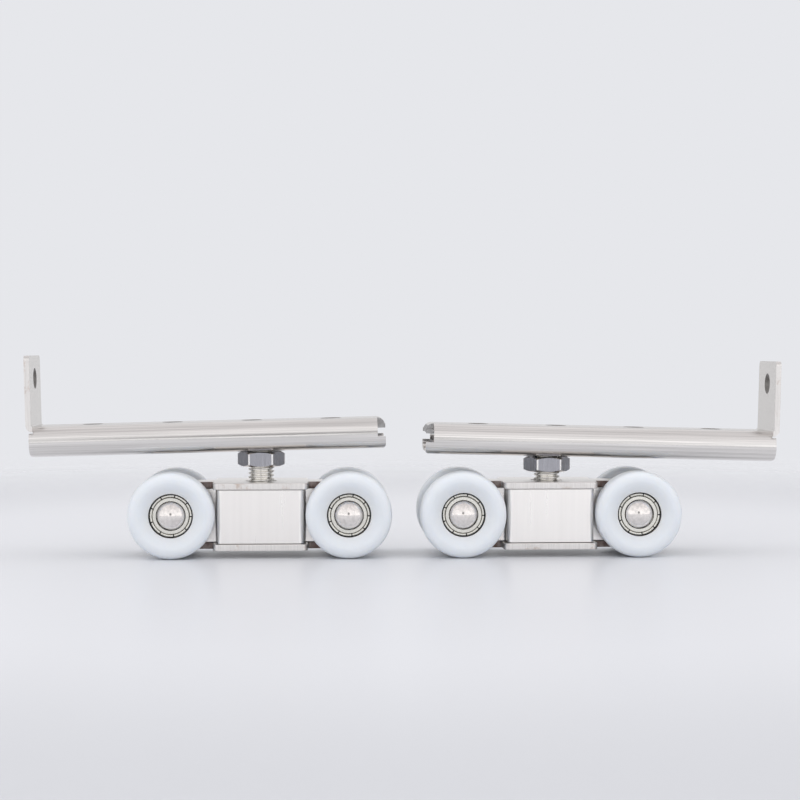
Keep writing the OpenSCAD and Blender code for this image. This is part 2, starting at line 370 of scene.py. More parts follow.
# The hexagon's rubbed edges and chamfers: brighter than its flats, partly as wear and partly as a painted highlight.
RUBBED_EDGE_HIGHLIGHT = Finish("rubbed_hexagon_edge_highlight", "#F2F0EE", roughness=0.22, spread=0.05, mark_mm=0.8, bump_mm=0.002)
# Rolled stainless thread: burnished crests, duller in the roots.
ROLLED_THREAD = Finish(
    "rolled_stainless_thread", "#EFEDE9", roughness=0.14, spread=0.04, mark_mm=0.8, bump_mm=0.002, contrast=0.08
)
# Peened and polished axle head: close to a mirror, faintly warm.
POLISHED_HEAD = Finish("polished_axle_head", "#EEE9E5", roughness=0.1, spread=0.03, mark_mm=1.2, bump_mm=0.001)
# Pressed bearing shield, ground ring faces: pale ivory steel.
BEARING_STEEL = Finish("pressed_bearing_steel", "#EAE8E0", roughness=0.28, spread=0.04, mark_mm=0.4, bump_mm=0.002)
# Painted shade: dark steel for the shadowed groove that the shield is crimped into, and for the ring's edge beside the
# nylon lip.
CRIMP_GROOVE_SHADE = Finish(
    "crimp_groove_painted_shade", "#2C2B28", metallic=0.3, roughness=0.5, spread=0.08, mark_mm=0.4, bump_mm=0.004
)
# Turned steel of the hidden swivel nut and bushes: fine rings from the tool.
TURNED_STEEL = Finish("turned_steel", "#9A9A9C", roughness=0.32, spread=0.06, mark_mm=0.3, bump_mm=0.006)
# Sintered bronze thrust washer: brown-gold with open pores.
SINTERED_BRONZE = Finish("sintered_bronze", "#A97F4A", roughness=0.5, spread=0.1, mark_mm=0.3, bump_mm=0.02)
# Hardened balls in a pressed steel cage.
BALL_STEEL = Finish("hardened_ball_steel", "#C9C9CC", roughness=0.12, spread=0.03, mark_mm=0.5, bump_mm=0.001)
# Natural nylon 6 wheel: milky white that cools to blue where it is thick.
NATURAL_NYLON = Nylon(
    "natural_nylon", "#E0E4E8", metallic=0.0, roughness=0.38, spread=0.05, mark_mm=2.5, bump_mm=0.01, contrast=0.012
)


# ---------------------------------------------------------------- shaping


@dataclass(frozen=True)
class Place:
    """Where a piece's own frame stands: out along the hanger, across (+Y) and up, in millimetres.

    Attributes:
        origin: the frame's origin, in metres.
        out: unit vector outwards, to the tab.
        up: unit vector up.
    """

    origin: Vector
    out: Vector
    up: Vector

    def matrix(self) -> Matrix:
        """The change from the piece's millimetres to metres in the row frame."""
        across = Vector((0, 1, 0))
        turned = Matrix((self.out, across, self.up)).transposed().to_4x4()
        return Matrix.Translation(self.origin) @ turned @ Matrix.Scale(MM, 4)

    def bounds_of(self, node: str) -> tuple[Vector, Vector]:
        """A CAD node's lowest and highest corners in this frame.

        Args:
            node: the node's name.

        Returns:
            The two corners, in millimetres.
        """
        back = self.matrix().inverted()
        points = [back @ p for p in points_of(node)]
        low = Vector([min(p[k] for p in points) for k in range(3)])
        high = Vector([max(p[k] for p in points) for k in range(3)])
        return low, high


def upright(origin: Vector) -> Place:
    """A frame that isn't turned.

    Args:
        origin: where it stands, in metres.

    Returns:
        The frame.
    """
    return Place(origin, Vector((1, 0, 0)), Vector((0, 0, 1)))


def points_of(node: str) -> list[Vector]:
    """A CAD node's corner points.

    Args:
        node: the node's name.

    Returns:
        The points, in metres.
    """
    return [v.co for v in frame["nodes"][node].data.vertices]


def radius_below(node: str, ceiling: float) -> float:
    """Radius of the upright round part of a CAD node that lies below a height.

    Args:
        node: the node's name.
        ceiling: the height, in metres.

    Returns:
        The radius, in millimetres.
    """
    foot = [p.y for p in points_of(node) if p.z < ceiling]
    return (max(foot) - min(foot)) / 2 / MM


def mirrored(points: list[Point2], u: int, v: int) -> list[Point2]:
    """The mirror image of a run of points, in reverse, so that it carries the outline on.

    Args:
        points: the run.
        u: -1 to mirror the first coordinate, otherwise 1.
        v: -1 to mirror the second coordinate, otherwise 1.

    Returns:
        The mirrored run.
    """
    return [(u * x, v * y) for x, y in reversed(points)]


def size_of(node: str) -> Vector:
    """A CAD node's length, depth and height.

    Args:
        node: the node's name.

    Returns:
        The three sizes, in millimetres.
    """
    low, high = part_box(node)
    return (high - low) / MM


def from_bmesh(name: str, shape: bmesh.types.BMesh) -> bpy.types.Object:
    """Makes an object of a bmesh, with doubles merged and faces pointing outwards.

    Args:
        name: the object's name.
        shape: the bmesh, which is freed.

    Returns:
        The new object, linked to the scene.
    """
    bmesh.ops.remove_doubles(shape, verts=shape.verts, dist=1e-5)
    bmesh.ops.recalc_face_normals(shape, faces=shape.faces)
    mesh = bpy.data.meshes.new(name)
    shape.to_mesh(mesh)
    shape.free()
    made = bpy.data.objects.new(name, mesh)
    bpy.context.scene.collection.objects.link(made)
    return made


def arc(centre: Point2, radius: float, start: float, end: float, steps: int = 16) -> list[Point2]:
    """Points along an arc.

    Args:
        centre: the arc's centre.
        radius: its radius.
        start: first angle, in degrees.
        end: last angle, in degrees.
        steps: how many chords.

    Returns:
        The points, both ends included.
    """
    angles = [math.radians(start + (end - start) * i / steps) for i in range(steps + 1)]
    return [(centre[0] + radius * math.cos(a), centre[1] + radius * math.sin(a)) for a in angles]


def prism(name: str, outline: list[Point2], low: float, high: float, axis: str) -> bpy.types.Object:
    """Extrudes a closed outline.

    Args:
        name: the object's name.
        outline: points in the plane of the two other axes, in x, y, z order.
        low: where the extrusion starts along the axis.
        high: where it ends.
        axis: "x", "y" or "z".

    Returns:
        The solid.
    """
    k = "xyz".index(axis)
    shape = bmesh.new()
    rings = []
    for level in (low, high):
        ring = []
        for point in outline:
            co = list(point)
            co.insert(k, level)
            ring.append(shape.verts.new(co))
        rings.append(ring)
    shape.faces.new(rings[0])
    shape.faces.new(rings[1])
    count = len(outline)
    for i in range(count):
        j = (i + 1) % count
        shape.faces.new((rings[0][i], rings[0][j], rings[1][j], rings[1][i]))
    return from_bmesh(name, shape)


def bored_plate(name: str, outline: list[Point2], bore: float, low: float, high: float) -> bpy.types.Object:
    """Makes a flat plate with a round bore at its middle, in faces that run straight out from the bore.

    Args:
        name: the object's name.
        outline: points in (x, y) anticlockwise, each in sight of the middle.
        bore: the bore's radius.
        low: height of the underside.
        high: height of the top.

    Returns:
        The solid.
    """
    rim: list[Point2] = []
    for here, there in zip(outline, outline[1:] + outline[:1]):
        turn = math.atan2(here[0] * there[1] - here[1] * there[0], here[0] * there[0] + here[1] * there[1])
        parts = max(1, math.ceil(turn / math.radians(6)))
        rim += [
            (here[0] + (there[0] - here[0]) * i / parts, here[1] + (there[1] - here[1]) * i / parts)
            for i in range(parts)
        ]
    shape = bmesh.new()
    spokes = []
    for x, y in rim:
        inner = bore / math.hypot(x, y)
        corners = [(x, y, low), (x, y, high), (x * inner, y * inner, high), (x * inner, y * inner, low)]
        spokes.append([shape.verts.new(co) for co in corners])
    for here, there in zip(spokes, spokes[1:] + spokes[:1]):
        for j in range(4):
            k = (j + 1) % 4
            shape.faces.new((here[j], there[j], there[k], here[k]))
    return from_bmesh(name, shape)


def lathe(name: str, profile: list[Point2], closed: bool, around: int = AROUND) -> bpy.types.Object:
    """Turns a profile round the y axis.

    Args:
        name: the object's name.
        profile: points of (radius, y). An open profile starts and ends on the axis.
        closed: whether the profile joins its last point to its first, as a ring's does.
        around: faces round the axis.

    Returns:
        The solid.
    """
    shape = bmesh.new()
    rings = []
    for i in range(around):
        a = 2 * math.pi * i / around
        rings.append([shape.verts.new((r * math.cos(a), y, r * math.sin(a))) for r, y in profile])
    steps = len(profile) if closed else len(profile) - 1
    for i in range(around):
        here, there = rings[i], rings[(i + 1) % around]
        for j in range(steps):
            k = (j + 1) % len(profile)
            corners = [here[j], here[k], there[k], there[j]]
            if profile[j][0] < 1e-6:
                corners = [here[j], here[k], there[k]]
            elif profile[k][0] < 1e-6:
                corners = [here[j], here[k], there[j]]
            shape.faces.new(corners)
    return from_bmesh(name, shape)


def turned_upright(made: bpy.types.Object, x: float, z: float) -> bpy.types.Object:
    """Turns a lathed piece's axis from y to z and moves it.

    Args:
        made: the piece.
        x: how far to move it along x.
        z: how far to move it up.

    Returns:
        The same piece.
    """
    made.data.transform(Matrix.Translation((x, 0, z)) @ Matrix.Rotation(math.radians(90), 4, "X"))
    return made


def bake(made: bpy.types.Object) -> bpy.types.Object:
    """Turns an object's modifiers into a plain mesh.

    Args:
        made: the object.

    Returns:
        The same object, with its modifiers applied and removed.
    """
    depsgraph = bpy.context.evaluated_depsgraph_get()
    mesh = bpy.data.meshes.new_from_object(made.evaluated_get(depsgraph))
    made.modifiers.clear()
    made.data = mesh
    return made


def join_solids(base: bpy.types.Object, tools: list[bpy.types.Object], operation: str) -> bpy.types.Object:
    """Cuts tools from a solid, or welds them to it, and deletes the tools.

    Args:
        base: the solid.
        tools: the other solids.
        operation: DIFFERENCE, UNION or INTERSECT.

    Returns:
        The changed solid.
    """
    for tool in tools:
        cut = base.modifiers.new(operation.lower(), "BOOLEAN")
        cut.operation = operation
        cut.solver = "EXACT"
        cut.object = tool
    bake(base)
    for tool in tools:
        bpy.data.objects.remove(tool)
    return base


def soften(made: bpy.types.Object, width: float, segments: int = 2, angle: float = 35.0) -> bpy.types.Object:
    """Rounds a solid's sharp edges.

    Args:
        made: the solid.
        width: width of the rounding, in millimetres.
        segments: faces across the rounding.
        angle: least angle of an edge that is rounded, in degrees.

    Returns:
        The same solid.
    """
    bevel = made.modifiers.new("edges", "BEVEL")
    bevel.width = width
    bevel.segments = segments
    bevel.limit_method = "ANGLE"
    bevel.angle_limit = math.radians(angle)
    bevel.miter_outer = "MITER_ARC"
    bevel.use_clamp_overlap = True
    return bake(made)


def settle(made: bpy.types.Object, place: Place, smooth_angle: float) -> bpy.types.Object:
    """Puts a shaped piece where it belongs, in metres, and smooths its shading.

    Args:
        made: the piece, in its own millimetres.
        place: where its frame stands.
        smooth_angle: edges sharper than this stay sharp, in degrees.

    Returns:
        The same piece.
    """
    made.data.transform(place.matrix())
    shape = bmesh.new()
    shape.from_mesh(made.data)
    bmesh.ops.remove_doubles(shape, verts=shape.verts, dist=1e-7)
    bmesh.ops.recalc_face_normals(shape, faces=shape.faces)
    shape.to_mesh(made.data)
    shape.free()
    for face in made.data.polygons:
        face.use_smooth = True
    made.data.set_sharp_from_angle(angle=math.radians(smooth_angle))
    flat = made.modifiers.new("flat faces stay flat", "WEIGHTED_NORMAL")
    flat.weight = 100
    flat.keep_sharp = True
    return bake(made)


def hand_over(
    made: bpy.types.Object, place: Place, smooth_angle: float, finishes: list[Finish], body: str, nodes: list[str],
) -> None:
    """Puts a shaped piece in place, dresses it and hands it to the frame.

    Args:
        made: the piece, in its own millimetres.
        place: where its frame stands.
        smooth_angle: edges sharper than this stay sharp, in degrees.
        finishes: one for each of its material slots.
        body: the CAD body that it rides on.
        nodes: the CAD nodes that it stands for.
    """
    settle(made, place, smooth_angle)
    slots = made.data.materials
    for k, finish in enumerate(finishes):
        if k < len(slots):
            slots[k] = finish.material()
        else:
            slots.append(finish.material())
    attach(made, body)
    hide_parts(*nodes)
    log.info("%s: %d faces on %s", made.name, len(made.data.polygons), body)


def dress_node(node: str, finish: Finish) -> None:
    """Gives a CAD node that is shown as it is a finish.

    Args:
        node: the node's name.
        finish: its finish.
    """
    shown = frame["nodes"][node]
    shown.data.materials.clear()
    shown.data.materials.append(finish.material())
    log.info("%s: kept from the frame", node)


# ---------------------------------------------------------------- geometry node trees


def new_tree(name: str, inputs: dict[str, float | int]) -> tuple[bpy.types.NodeTree, bpy.types.Node]:
    """Starts a Geometry Nodes tree with named inputs.

    Args:
        name: the tree's name.
        inputs: input name to its default, whose type is the socket's.

    Returns:
        The tree and its Group Input node.
    """
    tree = bpy.data.node_groups.new(name, "GeometryNodeTree")
    tree.interface.new_socket("Geometry", in_out="OUTPUT", socket_type="NodeSocketGeometry")
    for label, default in inputs.items():
        kind = "NodeSocketInt" if isinstance(default, int) else "NodeSocketFloat"
        tree.interface.new_socket(label, in_out="INPUT", socket_type=kind).default_value = default
    return tree, add_node(tree, "NodeGroupInput")


def finish_tree(tree: bpy.types.NodeTree, shape: bpy.types.NodeSocket, finish: Finish) -> None:
    """Ends a tree in Realize Instances and Set Material.

    Args:
        tree: the tree.
        shape: the geometry so far.
        finish: the finish that it takes.
    """
    real = add_node(tree, "GeometryNodeRealizeInstances", {"Geometry": shape}).outputs[0]
    dressed = add_node(tree, "GeometryNodeSetMaterial", {"Geometry": real, "Material": finish.material()}).outputs[0]
    add_node(tree, "NodeGroupOutput", {"Geometry": dressed})


def grow(name: str, tree: bpy.types.NodeTree, values: dict[str, float | int]) -> bpy.types.Object:
    """Runs a Geometry Nodes tree and keeps its result as a plain mesh.

    Args:
        name: the new object's name.
        tree: the tree.
        values: input name to value.

    Returns:
        The object, with no modifier left on it.
    """
    made = bpy.data.objects.new(name, bpy.data.meshes.new(name))
    bpy.context.scene.collection.objects.link(made)
    run = made.modifiers.new("grow", "NODES")
    run.node_group = tree
    sockets = {s.name: s.identifier for s in tree.interface.items_tree if s.in_out == "INPUT"}
    for label, value in values.items():
        run[sockets[label]] = value
    return bake(made)


def thread_tree() -> bpy.types.NodeTree:
    """A screw thread whose radius follows the helix, closed at both ends.

    Returns:
        The tree, with inputs Radius, Pitch, Depth, Length, Tip, Around and Rows.
    """
    known = bpy.data.node_groups.get("rolled_thread")
    if known:
        return known
    tree, given = new_tree(
        "rolled_thread",
        {"Radius": 5.0, "Pitch": 1.5, "Depth": 0.9, "Length": 30.0, "Tip": 1.0, "Around": 73, "Rows": 320},
    )
    put = given.outputs
    grid = {"Size X": 1.0, "Size Y": 1.0, "Vertices X": put["Around"], "Vertices Y": put["Rows"]}
    sheet = add_node(tree, "GeometryNodeMeshGrid", grid).outputs[0]
    at = add_node(tree, "ShaderNodeSeparateXYZ", {0: add_node(tree, "GeometryNodeInputPosition").outputs[0]})
    turn = maths(tree, "ADD", at.outputs[0], 0.5)
    share = maths(tree, "ADD", at.outputs[1], 0.5)
    height = maths(tree, "MULTIPLY", share, put["Length"])
    phase = maths(tree, "FRACT", maths(tree, "SUBTRACT", maths(tree, "DIVIDE", height, put["Pitch"]), turn))
    flank = maths(tree, "ABSOLUTE", maths(tree, "SUBTRACT", maths(tree, "MULTIPLY", phase, 2.0), 1.0))
    # rolled crests and roots are flat for about a quarter and a tenth of the pitch
    cut = stretch(tree, flank, 0.24, 0.9)
    radius = maths(tree, "SUBTRACT", put["Radius"], maths(tree, "MULTIPLY", cut, put["Depth"]))
    tip = maths(tree, "SUBTRACT", put["Radius"], maths(tree, "SUBTRACT", put["Tip"], height))
    radius = maths(tree, "MINIMUM", radius, tip)
    # the first and last rows close to a point
    radius = maths(tree, "MULTIPLY", radius, maths(tree, "COMPARE", share, 0.5, 0.4999))
    angle = maths(tree, "MULTIPLY", turn, 2 * math.pi)
    along = [maths(tree, "MULTIPLY", radius, maths(tree, way, angle)) for way in ("COSINE", "SINE")]
    spot = add_node(tree, "ShaderNodeCombineXYZ", {0: along[0], 1: along[1], 2: height}).outputs[0]
    wound = add_node(tree, "GeometryNodeSetPosition", {"Geometry": sheet, "Position": spot}).outputs[0]
    closed = add_node(tree, "GeometryNodeMergeByDistance", {"Geometry": wound, "Distance": 1e-4}).outputs[0]
    finish_tree(tree, closed, ROLLED_THREAD)
    return tree


def crimp_tree() -> bpy.types.NodeTree:
    """The crimped rim of a bearing shield: short arcs of half-round bead with a notch between each.

    Returns:
        The tree, with inputs Count, Radius, Bead and Notch (the notch's angle in degrees).
    """
    known = bpy.data.node_groups.get("crimped_rim")
    if known:
        return known
    tree, given = new_tree("crimped_rim", {"Count": 9, "Radius": 7.5, "Bead": 0.4, "Notch": 4.0})
    put = given.outputs
    step = maths(tree, "DIVIDE", 2 * math.pi, put["Count"])
    sweep = maths(tree, "SUBTRACT", step, maths(tree, "RADIANS", put["Notch"]))
    run = {"Resolution": 12, "Radius": put["Radius"], "Sweep Angle": sweep}
    bow = add_node(tree, "GeometryNodeCurveArc", run).outputs[0]
    bead = add_node(tree, "GeometryNodeCurvePrimitiveCircle", {"Resolution": 10, "Radius": put["Bead"]}).outputs[0]
    rod = add_node(tree, "GeometryNodeCurveToMesh", {"Curve": bow, "Profile Curve": bead, "Fill Caps": True}).outputs[0]
    spots = add_node(tree, "GeometryNodePoints", {"Count": put["Count"]}).outputs[0]
    index = add_node(tree, "GeometryNodeInputIndex").outputs[0]
    facing = add_node(tree, "ShaderNodeCombineXYZ", {2: maths(tree, "MULTIPLY", index, step)}).outputs[0]
    spread = {"Points": spots, "Instance": rod, "Rotation": facing}
    ring = add_node(tree, "GeometryNodeInstanceOnPoints", spread).outputs[0]
    finish_tree(tree, ring, BEARING_STEEL)
    return tree


# ---------------------------------------------------------------- sub-assemblies


@dataclass
class Bracket:
    """The folded channel with its upturned tab.

    Attributes:
        side: "left" or "right".
        sheet: the sheet's thickness.
        bend: outer radius of the bend to the tab.
        slot: width of the slot between the in-turned lips.
        setback: how far the channel's top stops short of the flanges at the open end.
        setback_drop: depth of that setback.
        crimp_depth: how far down the flanges are open beside the crimped tongue.
        crimp_gap: gap between the tongue and a flange's sheet.
        tongue_drop: how far down the tongue reaches.
        overrun: how far the flanges run on past the start of the tab's bend.
        relief: height of the notch between the tab's foot and the flanges.
        end_corner: rounding of the flanges' lower corners at both ends.
        tab_corner: rounding of the tab's top corners.
        sink: diameter of a countersink.
        land: straight wall at a countersink's small end.
    """

    side: str
    sheet: float = 2.0
    bend: float = 2.5
    slot: float = 11.0
    setback: float = 3.0
    setback_drop: float = 2.2
    crimp_depth: float = 7.0
    crimp_gap: float = 0.6
    tongue_drop: float = 3.4
    overrun: float = 1.5
    relief: float = 0.6
    end_corner: float = 1.4
    tab_corner: float = 2.0
    sink: float = 8.0
    land: float = 0.5
    node: str = field(init=False)
    place: Place = field(init=False)
    low: Vector = field(init=False)
    high: Vector = field(init=False)
    hole_d: float = field(init=False)
    hole_at: list[float] = field(init=False)
    tab_hole: float = field(init=False)

    def __post_init__(self) -> None:
        """Reads the bracket's place and size from the frame."""
        self.node = f"{self.side}_bracket"
        mounts = {m["name"]: m for m in frame["record"]["mounts"]}
        slide = next(j for j in frame["joints"] if j["name"] == f"{self.side}_bracket_slide")
        face = mounts[f"{self.side}_door_face"]
        self.place = Place(Vector(face["pos_m"]), Vector(slide["axis"]).normalized(), Vector(face["axis"]).normalized())
        self.low, self.high = self.place.bounds_of(self.node)
        spans = [mounts[f"{self.side}_{n}_screws"]["dims"] for n in ("inner", "outer")]
        self.hole_at = [s * d["pcd_mm"] / 2 for d in spans for s in (-1, 1)]
        self.hole_d = 2 * spans[0]["hole_r_mm"]
        tab = self.place.matrix().inverted() @ Vector(mounts[f"{self.side}_tab_screw"]["pos_m"])
        self.tab_hole = tab.z

    def section(self) -> list[Point2]:
        """The channel's outline in (y, z), with its top face at zero."""
        half, depth, lip = self.high.y, -self.low.z, self.slot / 2
        r = depth / 2
        inner = r - self.sheet
        right, left = (half - r, -r), (r - half, -r)
        return (
            [(lip, -depth)]
            + arc(right, r, -90, 90, 24)
            + arc(left, r, 90, 270, 24)
            + [(-lip, -depth), (-lip, self.sheet - depth)]
            + arc(left, inner, 270, 90, 24)
            + arc(right, inner, 90, -90, 24)
            + [(lip, self.sheet - depth)]
        )

    def channel_side(self, bend_start: float) -> list[Point2]:
        """The channel seen from the side, in (x, z): its top stops short at both ends.

        Args:
            bend_start: where the tab's bend starts.

        Returns:
            The outline.
        """
        start, end, foot, c = self.low.x, bend_start + self.overrun, self.low.z, self.end_corner
        notch = -self.sheet - self.relief
        return (
            arc((start + c, foot + c), c, 180, 270, 6)
            + arc((end - c, foot + c), c, 270, 360, 6)
            + [(end, notch), (bend_start, notch), (bend_start, 1), (start + self.setback, 1)]
            + [(start + self.setback, -self.setback_drop), (start, -self.setback_drop)]
        )

    def tab_side(self) -> list[Point2]:
        """The tab and its bend seen from the side, in (x, z)."""
        edge = self.high.x
        root = (edge - self.bend, self.bend - self.sheet)
        top = self.high.z
        return (
            arc(root, self.bend, -90, 0, 10)
            + [(edge, top), (edge - self.sheet, top)]
            + arc(root, self.bend - self.sheet, 0, -90, 6)
        )

    def tab_front(self) -> list[Point2]:
        """The tab seen along x: its two top corners are rounded."""
        half, top, r = self.high.y, self.high.z, self.tab_corner
        return (
            [(half, -self.bend - 1)]
            + arc((half - r, top - r), r, 0, 90, 8)
            + arc((r - half, top - r), r, 90, 180, 8)
            + [(-half, -self.bend - 1)]
        )

    def crimp_cuts(self) -> list[bpy.types.Object]:
        """Cutters that open the upper part of both flanges beside the crimped tongue."""
        inner, outer = self.high.y - self.sheet - self.crimp_gap, self.high.y + 1
        start, end = self.low.x - 1, self.low.x + self.setback
        outline = [(start, inner), (end, inner), (end, outer), (start, outer)]
        return [prism("crimp_cut", [(x, s * y) for x, y in outline], -self.crimp_depth, 1, "z") for s in (-1, 1)]

    def tongue(self) -> bpy.types.Object:
        """The end of the channel's top, crimped down between the flanges."""
        r, t, foot = self.setback, self.sheet, -self.tongue_drop
        half = self.high.y + self.low.z / 2 - 0.1
        root = (self.low.x + r, -r)
        outline = (
            [(root[0] + 1, 0)] + arc(root, r, 90, 180, 10) + [(self.low.x, foot), (self.low.x + t, foot)]
            + arc(root, r - t, 180, 90, 6) + [(root[0] + 1, -t)]
        )
        return prism("tongue", outline, -half, half, "y")

    def hole_tool(self) -> bpy.types.Object:
        """A cutter for one countersunk hole, its axis along y and the sheet's face at zero."""
        hole, sink, depth = self.hole_d / 2, self.sink / 2, self.sheet
        profile = [
            (0, -depth - 1), (hole, -depth - 1), (hole, self.land - depth), (sink, 0), (sink + 0.15, 0.15),
            (sink + 0.15, 1), (0, 1),
        ]
        return lathe("hole_tool", profile, False, 64)

    def mesh(self) -> bpy.types.Object:
        """Builds the bracket in its own millimetres.

        Returns:
            The bracket.
        """
        bend_start = self.high.x - self.bend
        wide = self.high.y + 1
        made = prism(f"{self.side}_bracket_sheet", self.section(), self.low.x - 1, self.high.x, "x")
        profile = prism("profile", self.channel_side(bend_start), -wide, wide, "y")
        tab = prism("tab", self.tab_side(), -self.high.y, self.high.y, "y")
        front = prism("front", self.tab_front(), bend_start - 1, self.high.x + 1, "x")
        tab = join_solids(tab, [front], "INTERSECT")
        made = join_solids(made, [profile], "INTERSECT")
        made = join_solids(made, self.crimp_cuts(), "DIFFERENCE")
        made = join_solids(made, [tab, self.tongue()], "UNION")
        tools = [turned_upright(self.hole_tool(), x, 0) for x in self.hole_at]
        tab_tool = self.hole_tool()
        tab_tool.data.transform(
            Matrix.Translation((self.high.x - self.sheet, 0, self.tab_hole)) @ Matrix.Rotation(math.radians(90), 4, "Z")
        )
        tools.append(tab_tool)
        made = join_solids(made, tools, "DIFFERENCE")
        return soften(made, 0.22)

    def finish_of(self, face: bpy.types.MeshPolygon) -> int:
        """Which finish a face of the unplaced bracket has.

        Args:
            face: the face, in the bracket's own millimetres.

        Returns:
            0 on the sheet, 1 on its cut edges (the tab's sides and top, the channel's ends), 2 where it is
            crimped and 3 in its holes.
        """
        n, c = face.normal, face.center
        at_end = c.x < self.low.x + self.setback - 0.05 and c.z > -self.crimp_depth
        if at_end and abs(c.y) < self.high.y - self.sheet and n.z < 0.7:
            return 2
        # a hole's walls take a finish that is painted dark for the shade inside the hole
        in_sink = abs(n.z) < 0.95 and any(math.hypot(c.x - x, c.y) < self.sink / 2 + 0.05 for x in self.hole_at)
        on_tab_hole = abs(n.x) < 0.95 and math.hypot(c.y, c.z - self.tab_hole) < self.sink / 2 + 0.05
        if in_sink and c.z < 0.01 or on_tab_hole:
            return 3
        on_tab = c.x > self.high.x - self.bend and (abs(n.y) > 0.8 or (n.z > 0.8 and c.z > self.sheet))
        return int(on_tab or (n.x < -0.8 and c.x < self.low.x + self.setback + 0.5))

    def build(self) -> None:
        """Makes, dresses and places the bracket."""
        made = self.mesh()
        for face in made.data.polygons:
            face.material_index = self.finish_of(face)
        out = self.place.out
        lean = math.degrees(math.atan2(out.z, out.x))
        brushed = replace(BRUSHED_SHEET, name=f"{BRUSHED_SHEET.name}_{self.side}", lean=(lean + 90) % 180 - 90)
        finishes = [brushed, SHEARED_EDGE, CRIMPED_END, DRILLED_HOLE_SHADE]
        hand_over(made, self.place, 32, finishes, f"{self.side}_door_bracket", [self.node])


@dataclass
class BoltAndNut:
    """The hanger bolt with its rolled thread, and the lock nut.

    Attributes:
        side: "left" or "right".
        pitch: the thread's pitch.
        depth: the thread's depth.
        crest: how far the rolled crests stand out.
        corner_round: rounding of the hexagons' six corners.
        chamfer_angle: slope of the hexagons' end chamfers, in degrees.
        edge: rounding of the hexagons' other edges.
        mouth: chamfer at both ends of the nut's bore.
    """

    side: str
    pitch: float = 1.5
    depth: float = 1.0
    crest: float = 0.1
    corner_round: float = 0.8
    chamfer_angle: float = 30.0
    edge: float = 0.14
    mouth: float = 0.5

    def place(self, node: str) -> Place:
        """A frame at the middle of a node's underside.

        Args:
            node: the node's name.

        Returns:
            The frame.
        """
        low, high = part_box(node)
        middle = (low + high) / 2
        return upright(Vector((middle.x, middle.y, low.z)))

    def hexagon(self, name: str, across_flats: float, low: float, high: float, both: bool) -> bpy.types.Object:
        """A hexagonal block with turned chamfers, flats to the front.

        Args:
            name: its name.
            across_flats: width across its flats.
            low: height of its underside.
            high: height of its top.
            both: whether the underside is chamfered too.

        Returns:
            The block.
        """
        corner = across_flats / 2 / math.cos(math.radians(30))
        r = self.corner_round
        reach = corner - r / math.cos(math.radians(30))
        outline: list[Point2] = []
        for turn in range(0, 360, 60):
            root = (reach * math.cos(math.radians(turn)), reach * math.sin(math.radians(turn)))
            outline += arc(root, r, turn - 30, turn + 30, 4)
        block = prism(name, outline, low, high, "z")
        start = across_flats / 2 * 0.96
        wide = corner + 0.4
        slope = (wide - start) * math.tan(math.radians(self.chamfer_angle))
        foot = [(0, low), (start, low), (wide, low + slope)] if both else [(0, low), (wide, low)]
        profile = foot + [(wide, high - slope), (start, high), (0, high)]
        shell = turned_upright(lathe("chamfer_tool", profile, False), 0, 0)
        return join_solids(block, [shell], "INTERSECT")

    def rub(self, made: bpy.types.Object) -> None:
        """Gives a hexagon's rounded edges and chamfers the second of its finishes, which is rubbed wear and a painted
        highlight.

        Args:
            made: the hexagon, unplaced.
        """
        flats = [Vector((math.sin(math.radians(60 * i)), math.cos(math.radians(60 * i)), 0)) for i in range(6)]
        rubbed = 0.9 * max(v.co.y for v in made.data.vertices)
        for face in made.data.polygons:
            on_flat = max(face.normal.dot(flat) for flat in flats) > 0.995
            inside = face.center.xy.length < rubbed
            face.material_index = 0 if on_flat or inside or abs(face.normal.z) > 0.95 else 1

    def build_nut(self) -> None:
        """Makes the lock nut."""
        node = f"{self.side}_lock_nut"
        _, flats, height = size_of(node)
        nut = self.hexagon(f"{node}_hexagon", flats, 0, height, True)
        bore = self.bolt_radius() + 0.05
        mouth = bore + self.mouth
        profile = [
            (0, -1), (mouth, -1), (mouth, 0), (bore, self.mouth), (bore, height - self.mouth), (mouth, height),
            (mouth, height + 1), (0, height + 1),
        ]
        tool = turned_upright(lathe("bore_tool", profile, False), 0, 0)
        nut = join_solids(nut, [tool], "DIFFERENCE")
        soften(nut, self.edge, 2, 25)
        self.rub(nut)
        hexed = [MACHINED_HEX, RUBBED_EDGE_HIGHLIGHT]
        hand_over(nut, self.place(node), 25, hexed, f"{self.side}_nut", [node])

    def bolt_radius(self) -> float:
        """Radius of the bolt, from its CAD node's round foot."""
        node = f"{self.side}_hanger_bolt"
        low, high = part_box(node)
        return radius_below(node, (low.z + high.z) / 2)

    def head_height(self) -> float:
        """Height of the bolt's head, from the widest part of its CAD node."""
        node = f"{self.side}_hanger_bolt"
        low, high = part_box(node)
        middle = (low.x + high.x) / 2
        reach = (self.bolt_radius() + 0.5) * MM
        wide = [p.z for p in points_of(node) if abs(p.x - middle) > reach]
        return (high.z - min(wide)) / MM

    def build_bolt(self) -> None:
        """Makes the bolt: a head with turned chamfers on a rolled thread."""
        node = f"{self.side}_hanger_bolt"
        _, flats, length = size_of(node)
        shank = length - self.head_height()
        rows = 1 + round(shank / self.pitch * 16)
        values = {
            "Radius": self.bolt_radius() + self.crest, "Pitch": self.pitch, "Depth": self.depth,
            "Length": shank + 0.5, "Rows": rows,
        }
        thread = grow(f"{node}_thread", thread_tree(), values)
        hand_over(thread, self.place(node), 60, [ROLLED_THREAD], f"{self.side}_bolt", [node])
        top = self.hexagon(f"{node}_head", flats, shank, length, False)
        soften(top, self.edge, 2, 25)
        self.rub(top)
        hexed = [MACHINED_HEX, RUBBED_EDGE_HIGHLIGHT]
        hand_over(top, self.place(node), 25, hexed, f"{self.side}_bolt", [node])

    def build(self) -> None:
        """Makes the bolt and the nut."""
        self.build_nut()
        self.build_bolt()


